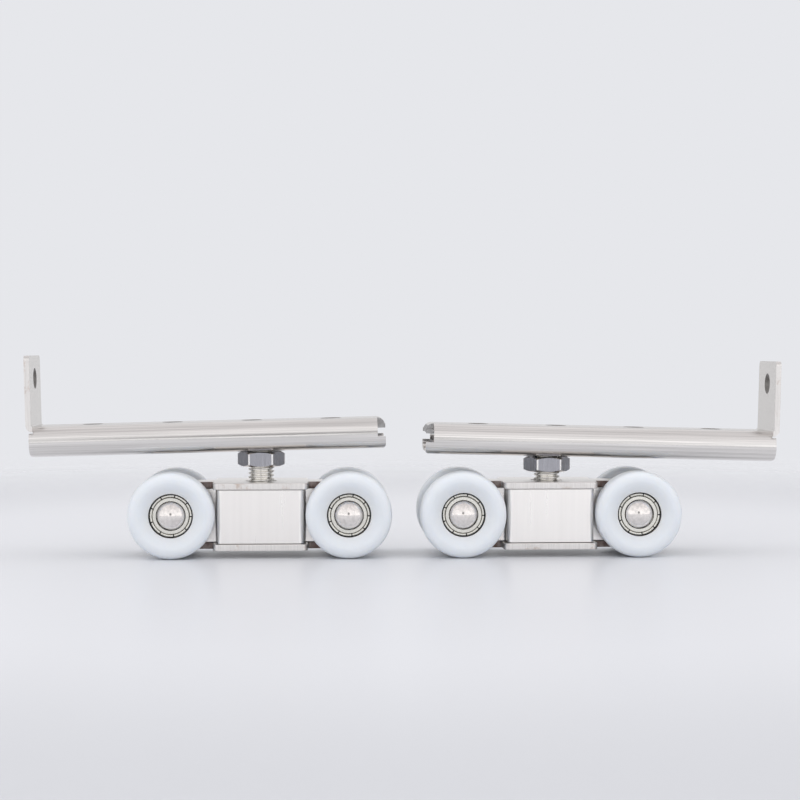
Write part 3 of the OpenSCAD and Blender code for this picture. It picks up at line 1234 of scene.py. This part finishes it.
@dataclass
class Carriage:
    """The two plates, the two folded walls and the axles.

    Attributes:
        side: "left" or "right".
        wall: thickness of the folded walls.
        seam: gap left between a wall and a plate, where the fold springs back.
        corner: rounding of the plates' and walls' corners.
        neck_end: rounding of the neck's ends.
        step: rounding where the middle of a plate steps in to the neck.
        shaft: radius of the axles between their heads.
        head_base: height of the straight side of an axle's head.
        head_lip: chamfer under an axle's head.
        bolt_gap: gap round the bolt in the top plate's bore.
        spigot_gap: gap round the swivel nut's spigot in the bottom plate's bore.
        fold: inner radius of the walls' folds.
    """

    side: str
    wall: float = 1.5
    seam: float = 0.22
    corner: float = 2.0
    neck_end: float = 3.0
    step: float = 0.8
    shaft: float = 3.0
    head_base: float = 0.45
    head_lip: float = 0.3
    bolt_gap: float = 1.2
    spigot_gap: float = 0.05
    fold: float = 0.8

    def place(self) -> Place:
        """A frame at the middle of the bottom plate's underside."""
        low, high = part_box(f"{self.side}_bottom_plate")
        middle = (low + high) / 2
        return upright(Vector((middle.x, 0, low.z)))

    def neck_half(self) -> float:
        """Half the neck's width, from the spacer bushes that stand against it."""
        return min(abs(p.y) for p in points_of(f"{self.side}_spacer_bushes")) / MM

    def wall_box(self) -> tuple[float, float]:
        """Half the length of the walls' middle, and how far it stands from the middle plane."""
        node = f"{self.side}_front_wall"
        low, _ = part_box(node)
        middle = self.place().origin.x
        outer = [abs(p.x - middle) for p in points_of(node) if p.y < -(self.neck_half() + 1) * MM]
        return max(outer) / MM, -low.y / MM

    def plate_half(self, node: str) -> float:
        """Half the length of the middle of a plate.

        Args:
            node: the plate's name.

        Returns:
            The half length, in millimetres.
        """
        middle = self.place().origin.x
        wide = [abs(p.x - middle) for p in points_of(node) if abs(p.y) > (self.neck_half() + 1) * MM]
        return max(wide) / MM

    def plate_outline(self, node: str) -> list[Point2]:
        """A plate's outline: a wide middle that steps in to a neck at each end.

        Args:
            node: the plate's name.

        Returns:
            The outline in (x, y).
        """
        length, depth, _ = size_of(node) / 2
        mid, neck, c, e, s = self.plate_half(node), self.neck_half(), self.corner, self.neck_end, self.step
        quarter = (
            arc((length - e, neck - e), e, 0, 90, 8)
            + arc((mid + s, neck + s), s, 270, 180, 6)
            + arc((mid - c, depth - c), c, 0, 90, 8)
        )
        upper = quarter + mirrored(quarter, -1, 1)
        return upper + mirrored(upper, 1, -1)

    def levels(self, node: str) -> tuple[float, float]:
        """Heights of a node's underside and top in the carriage's frame.

        Args:
            node: the node's name.

        Returns:
            The two heights, in millimetres.
        """
        base = self.place().origin.z
        low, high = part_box(node)
        return (low.z - base) / MM, (high.z - base) / MM

    def build_plate(self, name: str, bore: float) -> None:
        """Makes one plate, with sheared edges, heat-tinted neck edges painted darker as shade, and a bored middle.

        Args:
            name: "top_plate" or "bottom_plate".
            bore: radius of its bore.
        """
        node = f"{self.side}_{name}"
        plate = bored_plate(f"{node}_sheet", self.plate_outline(node), bore, *self.levels(node))
        soften(plate, 0.3, 3)
        shoulder = self.plate_half(node) + self.step / 2
        # the neck's cut edges take the heat-tinted finish, which is also painted darker as shade
        for face in plate.data.polygons:
            cut_edge = abs(face.normal.z) < 0.5 and face.center.xy.length > bore + 1
            face.material_index = (2 if abs(face.center.x) > shoulder else 1) if cut_edge else 0
        finishes = [BRIGHT_SHEET, SHEARED_EDGE, TINTED_SHADED_EDGE]
        hand_over(plate, self.place(), 32, finishes, f"{self.side}_carriage", [node])

    def wall_outline(self) -> list[Point2]:
        """Plan of the front wall: out round the middle and back along the neck, one sheet thick."""
        reach, stand = self.wall_box()
        neck, t, c = self.neck_half(), self.wall, self.corner
        end = size_of(f"{self.side}_front_wall").x / 2
        fold = (reach + self.fold, -neck - self.fold)
        outer = (
            [(end, -neck)]
            + arc(fold, self.fold, 90, 180, 6)
            + arc((reach - c, c - stand), c, 0, -90, 10)
        )
        inner = (
            [(end, t - neck)]
            + arc(fold, self.fold + t, 90, 180, 8)
            + arc((reach - c, c - stand), c - t, 0, -90, 6)
        )
        inner += mirrored(inner, -1, 1)
        return outer + mirrored(outer, -1, 1) + inner[::-1]

    def build_wall(self, name: str, front: int) -> None:
        """Makes one folded wall.

        Args:
            name: "front_wall" or "rear_wall".
            front: -1 for the rear wall's mirrored outline, 1 for the front wall's.
        """
        node = f"{self.side}_{name}"
        low, high = self.levels(node)
        outline = [(x, y * front) for x, y in self.wall_outline()]
        sheet = prism(f"{node}_sheet", outline, low + self.seam, high - self.seam, "z")
        soften(sheet, 0.12, 2, 50)
        hand_over(sheet, self.place(), 40, [BRIGHT_SHEET], f"{self.side}_carriage", [node])

    def build_axle(self, name: str) -> None:
        """Makes an axle with a domed head peened on each end.

        Args:
            name: "tab_axle" or "open_axle".
        """
        node = f"{self.side}_{name}"
        low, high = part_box(node)
        _, reach, head = size_of(node) / 2
        core_low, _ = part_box(f"{self.side}_front_{name.split('_')[0]}_bearing_core")
        seat = -core_low.y / MM
        rise = reach - seat - self.head_base
        foot = head - 0.1
        dome = (foot * foot + rise * rise) / (2 * rise)
        sweep = math.degrees(math.asin(foot / dome))
        cap = arc((0, reach - dome), dome, 90, 90 - sweep, 20)
        half = [(0.0, reach)] + cap[1:] + [
            (head, seat + self.head_base - 0.1), (head, seat + self.head_lip), (head - self.head_lip, seat),
            (self.shaft, seat),
        ]
        profile = half + mirrored(half, 1, -1)
        axle = lathe(f"{node}_rod", profile, False)
        hand_over(axle, upright((low + high) / 2), 40, [POLISHED_HEAD], f"{self.side}_carriage", [node])

    def build(self) -> None:
        """Makes the carriage and dresses what stays hidden inside it."""
        swivel = f"{self.side}_swivel_nut"
        low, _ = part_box(swivel)
        self.build_plate("top_plate", BoltAndNut(self.side).bolt_radius() + self.bolt_gap)
        self.build_plate("bottom_plate", radius_below(swivel, low.z + 0.5 * MM) + self.spigot_gap)
        self.build_wall("front_wall", 1)
        self.build_wall("rear_wall", -1)
        self.build_axle("tab_axle")
        self.build_axle("open_axle")
        dress_node(f"{self.side}_spacer_bushes", TURNED_STEEL)
        dress_node(f"{self.side}_thrust_washer", SINTERED_BRONZE)
        dress_node(swivel, TURNED_STEEL)


@dataclass
class Roller:
    """A nylon wheel on its ball bearing.

    Attributes:
        side: "left" or "right".
        corner: which wheel, such as "front_tab".
        edge: rounding of the tread's edges.
        lip: thickness of the nylon over the bearing's outer ring.
        crown: how much the tread's middle stands out.
        mouth: how far the nylon reaches in over the bearing.
        rim: thickness of the outer ring beside a shield.
        ring: thickness of the outer ring over the balls.
        race: radius of the balls' groove.
        shield_gap: gap between a shield and the inner ring.
        notch: angle of a notch in a crimped rim, in degrees.
    """

    side: str
    corner: str
    edge: float = 3.0
    lip: float = 1.0
    crown: float = 0.12
    mouth: float = 1.08
    rim: float = 1.27
    ring: float = 1.75
    race: float = 1.78
    shield_gap: float = 0.65
    notch: float = 3.4

    def name(self, part: str) -> str:
        """The CAD node's name of one part of this wheel.

        Args:
            part: the part, such as "wheel".

        Returns:
            The name.
        """
        return f"{self.side}_{self.corner}_{part}"

    def place(self) -> Place:
        """A frame at the wheel's centre."""
        low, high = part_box(self.name("wheel"))
        return upright((low + high) / 2)

    def half_size(self, part: str) -> tuple[float, float]:
        """Radius and half width of one part.

        Args:
            part: the part, such as "bearing_shell".

        Returns:
            The two sizes, in millimetres.
        """
        _, half, radius = size_of(self.name(part)) / 2
        return radius, half

    def build_wheel(self) -> None:
        """Makes the nylon wheel: crowned tread, rounded edges and a soft dish round the bearing."""
        radius, half = self.half_size("wheel")
        bearing, seat = self.half_size("bearing_shell")
        e, mouth = self.edge, bearing - self.mouth
        rim, lip = radius - e, seat + self.lip
        tread = [(radius - self.crown * (2 * (t / 8) - 1) ** 2, (half - e) * (1 - 2 * t / 8)) for t in range(9)]
        dish = [
            (mouth, seat), (mouth, lip - 0.2), (mouth + 0.2, lip), (mouth + 0.7, lip + 0.18), (mouth + 1.9, lip + 0.9),
            (mouth + 3.2, half - 0.28), (mouth + 4.2, half - 0.04), (rim - 0.6, half),
        ]
        half_profile = dish + arc((rim - self.crown, half - e), e, 88, 2, 12)
        lower = mirrored(half_profile, 1, -1)
        profile = half_profile + tread[1:-1] + lower + [(bearing, -seat), (bearing, seat)]
        wheel = lathe(f"{self.name('wheel')}_moulding", profile, True, 128)
        hand_over(wheel, self.place(), 50, [NATURAL_NYLON], self.name("roller"), [self.name("wheel")])

    def build_bearing(self) -> None:
        """Makes the outer ring with its shields, and the crimped rim of each shield; the ring's edge by the nylon lip
        is painted dark as shade.
        """
        bearing, half = self.half_size("bearing_shell")
        core, _ = self.half_size("bearing_core")
        body, node = self.name("roller"), self.name("bearing_shell")
        ring, rim, bore = bearing - self.ring, bearing - self.rim, core + self.shield_gap
        groove_r = (core + ring) / 2 - 0.075
        profile = (
            [(bearing - 0.02, half - 0.3), (bearing - 0.3, half - 0.02), (rim + 0.06, half - 0.02)]
            + [(rim, half - 0.08), (rim, half - 0.75), (ring, half - 0.75)]
            + arc((groove_r, 0), self.race, 32, -32, 10)
            + [(ring, 0.75 - half), (rim, 0.75 - half), (rim, 0.08 - half), (rim + 0.06, 0.02 - half)]
            + [(bearing - 0.3, 0.02 - half), (bearing - 0.02, 0.3 - half)]
        )
        outer = lathe(f"{node}_ring", profile, True)
        # the ring's face beside the nylon lip takes the dark finish as painted shade
        for face in outer.data.polygons:
            seen = math.hypot(face.center.x, face.center.z) > rim - 0.01 and abs(face.center.y) > half - 0.5
            face.material_index = 1 if seen else 0
        hand_over(outer, self.place(), 30, [BEARING_STEEL, CRIMP_GROOVE_SHADE], body, [node])
        self.build_shields(node, body, half, rim, bore)

    def build_shields(self, node: str, body: str, half: float, ring: float, bore: float) -> None:
        """Makes both shields, their crimped rims and a thin dark ring of painted shade in each crimp groove.

        Args:
            node: the CAD node that they stand for.
            body: the body that they ride on.
            half: half the bearing's width.
            ring: inner radius of the outer ring.
            bore: the shields' inner radius.
        """
        step = bore + (ring - bore) * 0.5
        for label, s in (("front", -1), ("rear", 1)):
            top = half - 0.06
            shield = [
                (bore, half - 0.42), (bore, top - 0.08), (bore + 0.1, top), (step - 0.12, top), (step, top - 0.12),
                (step + 0.06, half - 0.5), (ring - 0.02, half - 0.5), (ring - 0.02, half - 0.7),
                (bore + 0.1, half - 0.7),
            ]
            disc = lathe(f"{node}_{label}_shield", [(r, s * y) for r, y in shield], True)
            hand_over(disc, self.place(), 30, [BEARING_STEEL], body, [node])
            bead = (ring - step - 0.3) / 2
            values = {"Radius": (step + ring) / 2 + 0.02, "Bead": bead, "Notch": self.notch}
            rim = grow(f"{node}_{label}_crimp", crimp_tree(), values)
            turned = Matrix.Rotation(math.radians(90), 4, "X")
            rim.data.transform(Matrix.Translation((0, s * (half - 0.1 - bead), 0)) @ turned)
            hand_over(rim, self.place(), 40, [BEARING_STEEL], body, [node])
            # a thin dark ring of painted shade lies on the groove's floor
            groove_shade = [
                (step + 0.07, half - 0.49), (ring - 0.03, half - 0.49), (ring - 0.03, half - 0.44),
                (step + 0.07, half - 0.44),
            ]
            floor = lathe(f"{node}_{label}_groove", [(r, s * y) for r, y in groove_shade], True)
            hand_over(floor, self.place(), 30, [CRIMP_GROOVE_SHADE], body, [node])

    def build(self) -> None:
        """Makes the wheel and its bearing, and dresses the parts inside."""
        self.build_wheel()
        self.build_bearing()
        dress_node(self.name("bearing_core"), BEARING_STEEL)
        dress_node(self.name("bearing_balls"), BALL_STEEL)


# ---------------------------------------------------------------- studio


@dataclass(frozen=True)
class Studio:
    """A pale floor, soft light from all round and the camera.

    Attributes:
        camera_at: the camera's place, in metres.
        yaw: turn towards +X, in degrees.
        pitch: tilt down, in degrees.
        lens: focal length, in millimetres on a 36 mm sensor.
        backdrop: colour behind everything.
        floor: the floor's colour.
        glow: strength of the light from the surroundings.
    """

    camera_at: tuple[float, float, float] = (-0.0328, -0.698, 0.0796)
    yaw: float = 2.55
    pitch: float = 1.62
    lens: float = 81.0
    backdrop: str = "#E6E7EB"
    floor: str = "#DADCE0"
    glow: float = 1.35

    def build_camera(self) -> None:
        """Makes the camera and gives it to the scene."""
        data = bpy.data.cameras.new("camera")
        data.lens, data.sensor_width = self.lens, 36.0
        data.clip_start, data.clip_end = 0.01, 50.0
        camera = bpy.data.objects.new("camera", data)
        camera.location = self.camera_at
        camera.rotation_euler = (math.radians(90 - self.pitch), 0, math.radians(-self.yaw))
        bpy.context.scene.collection.objects.link(camera)
        bpy.context.scene.camera = camera

    def build_light(self, name: str, place: Vector, target: Vector, size: tuple[float, float], power: float) -> None:
        """Makes one softbox.

        Args:
            name: its name.
            place: where it stands.
            target: what it faces.
            size: its width and height, in metres.
            power: its power, in watts.
        """
        data = bpy.data.lights.new(name, "AREA")
        data.shape = "RECTANGLE"
        data.size, data.size_y = size
        data.energy = power
        light = bpy.data.objects.new(name, data)
        light.visible_glossy = False
        light.location = place
        light.rotation_euler = (target - place).to_track_quat("-Z", "Y").to_euler()
        bpy.context.scene.collection.objects.link(light)

    def build_world(self) -> None:
        """Makes the surroundings: an even backdrop, lit by a tent that polished metal sees darker at the sides."""
        world = bpy.data.worlds.new("studio")
        bpy.context.scene.world = world
        tree = clean_tree(world)
        aim = add_node(tree, "ShaderNodeSeparateXYZ", {0: add_node(tree, "ShaderNodeTexCoord").outputs["Generated"]})
        stops = [
            (0.0, "#7C7C80"), (0.40, "#98989B"), (0.455, "#E2E2E4"), (0.488, "#F7F7F9"), (0.60, "#F5F5F7"),
            (0.75, "#E8E7E9"), (1.0, "#CFCDCF"),
        ]
        sky = gradient(tree, maths(tree, "MULTIPLY_ADD", aim.outputs[2], 0.5, 0.5), stops, "EASE")
        path = add_node(tree, "ShaderNodeLightPath").outputs
        seen = path["Is Camera Ray"]
        dim = maths(tree, "SUBTRACT", 1.0, maths(tree, "MULTIPLY", self.side_shade(tree, aim), self.watcher(tree, aim)))
        level = maths(tree, "SUBTRACT", 1.0, maths(tree, "MULTIPLY", dim, path["Is Glossy Ray"]))
        share = maths(tree, "MULTIPLY", level, self.glow)
        tent = add_node(tree, "ShaderNodeBackground", {"Color": sky, "Strength": share}).outputs[0]
        plain = add_node(tree, "ShaderNodeBackground", {"Color": linear(self.backdrop)}).outputs[0]
        mixed = add_node(tree, "ShaderNodeMixShader", {0: seen, 1: tent, 2: plain}).outputs[0]
        add_node(tree, "ShaderNodeOutputWorld", {"Surface": mixed})

    def watcher(self, tree: bpy.types.NodeTree, aim: bpy.types.Node) -> bpy.types.NodeSocket:
        """A dark upright shape in front, as someone at the camera makes in polished metal.

        Args:
            tree: the world's node tree.
            aim: the direction, split into x, y and z.

        Returns:
            The share of light that is left.
        """
        across = maths(tree, "DIVIDE", maths(tree, "ADD", aim.outputs[0], 0.035), 0.14)
        above = maths(tree, "DIVIDE", maths(tree, "SUBTRACT", aim.outputs[2], 0.17), 0.17)
        far = maths(tree, "MULTIPLY_ADD", across, across, maths(tree, "MULTIPLY", above, above))
        left = stretch(tree, far, 0.3, 1.1, 0.22)
        return maths(tree, "MAXIMUM", left, maths(tree, "GREATER_THAN", aim.outputs[1], 0.0))

    def side_shade(self, tree: bpy.types.NodeTree, aim: bpy.types.Node) -> bpy.types.NodeSocket:
        """How bright the tent is each way round: open to the front and behind, dark at the sides near the floor.

        Args:
            tree: the world's node tree.
            aim: the direction, split into x, y and z.

        Returns:
            The share of the tent's light.
        """
        flat = maths(tree, "SQRT", maths(tree, "MULTIPLY_ADD", aim.outputs[0], aim.outputs[0],
                                         maths(tree, "MULTIPLY", aim.outputs[1], aim.outputs[1])))
        facing = maths(tree, "DIVIDE", aim.outputs[1], maths(tree, "MAXIMUM", flat, 0.001))
        stops = [(0.0, 0.62), (0.04, 0.6), (0.14, 0.3), (0.42, 0.28), (0.66, 0.95), (1.0, 1.0)]
        level = gradient(tree, maths(tree, "MULTIPLY_ADD", facing, -0.5, 0.5), stops)
        low = stretch(tree, aim.outputs[2], 0.35, 0.75, 1.0, 0.0)
        dim = maths(tree, "SUBTRACT", 1.0, level)
        return maths(tree, "SUBTRACT", 1.0, maths(tree, "MULTIPLY", dim, low))

    def build_floor(self) -> None:
        """Makes the floor, which fades into the backdrop away from the object."""
        floor = prism("floor", [(-6, -6), (6, -6), (6, 6), (-6, 6)], -0.004, 0.0, "z")
        made = bpy.data.materials.new("pale_floor")
        tree = clean_tree(made)
        place = add_node(tree, "ShaderNodeTexCoord").outputs["Object"]
        far = add_node(tree, "ShaderNodeVectorMath", {0: place}, operation="LENGTH").outputs["Value"]
        fade = stretch(tree, far, 0.22, 0.7, blend="SMOOTHSTEP")
        surface = add_node(
            tree, "ShaderNodeBsdfPrincipled", {"Base Color": linear(self.floor), "Roughness": 0.35}
        ).outputs[0]
        clear = add_node(tree, "ShaderNodeBsdfTransparent").outputs[0]
        mixed = add_node(tree, "ShaderNodeMixShader", {0: fade, 1: surface, 2: clear}).outputs[0]
        add_node(tree, "ShaderNodeOutputMaterial", {"Surface": mixed})
        floor.data.materials.append(made)

    def build(self) -> None:
        """Makes the whole studio."""
        self.build_camera()
        self.build_world()
        self.build_floor()
        middle = Vector((0, 0, 0.03))
        self.build_light("overhead", Vector((0.0, -0.15, 1.1)), middle, (1.6, 1.0), 2.5)
        self.build_light("front_fill", Vector((-0.5, -1.3, 0.75)), middle, (1.0, 0.6), 1.5)
        bpy.context.scene.view_settings.view_transform = "Standard"


def main() -> None:
    """Builds the studio and both hangers."""
    Studio().build()
    for side in ("left", "right"):
        Bracket(side).build()
        BoltAndNut(side).build()
        Carriage(side).build()
        for corner in ("front_tab", "front_open", "rear_tab", "rear_open"):
            Roller(side, corner).build()


if __name__ == "__main__":
    main()
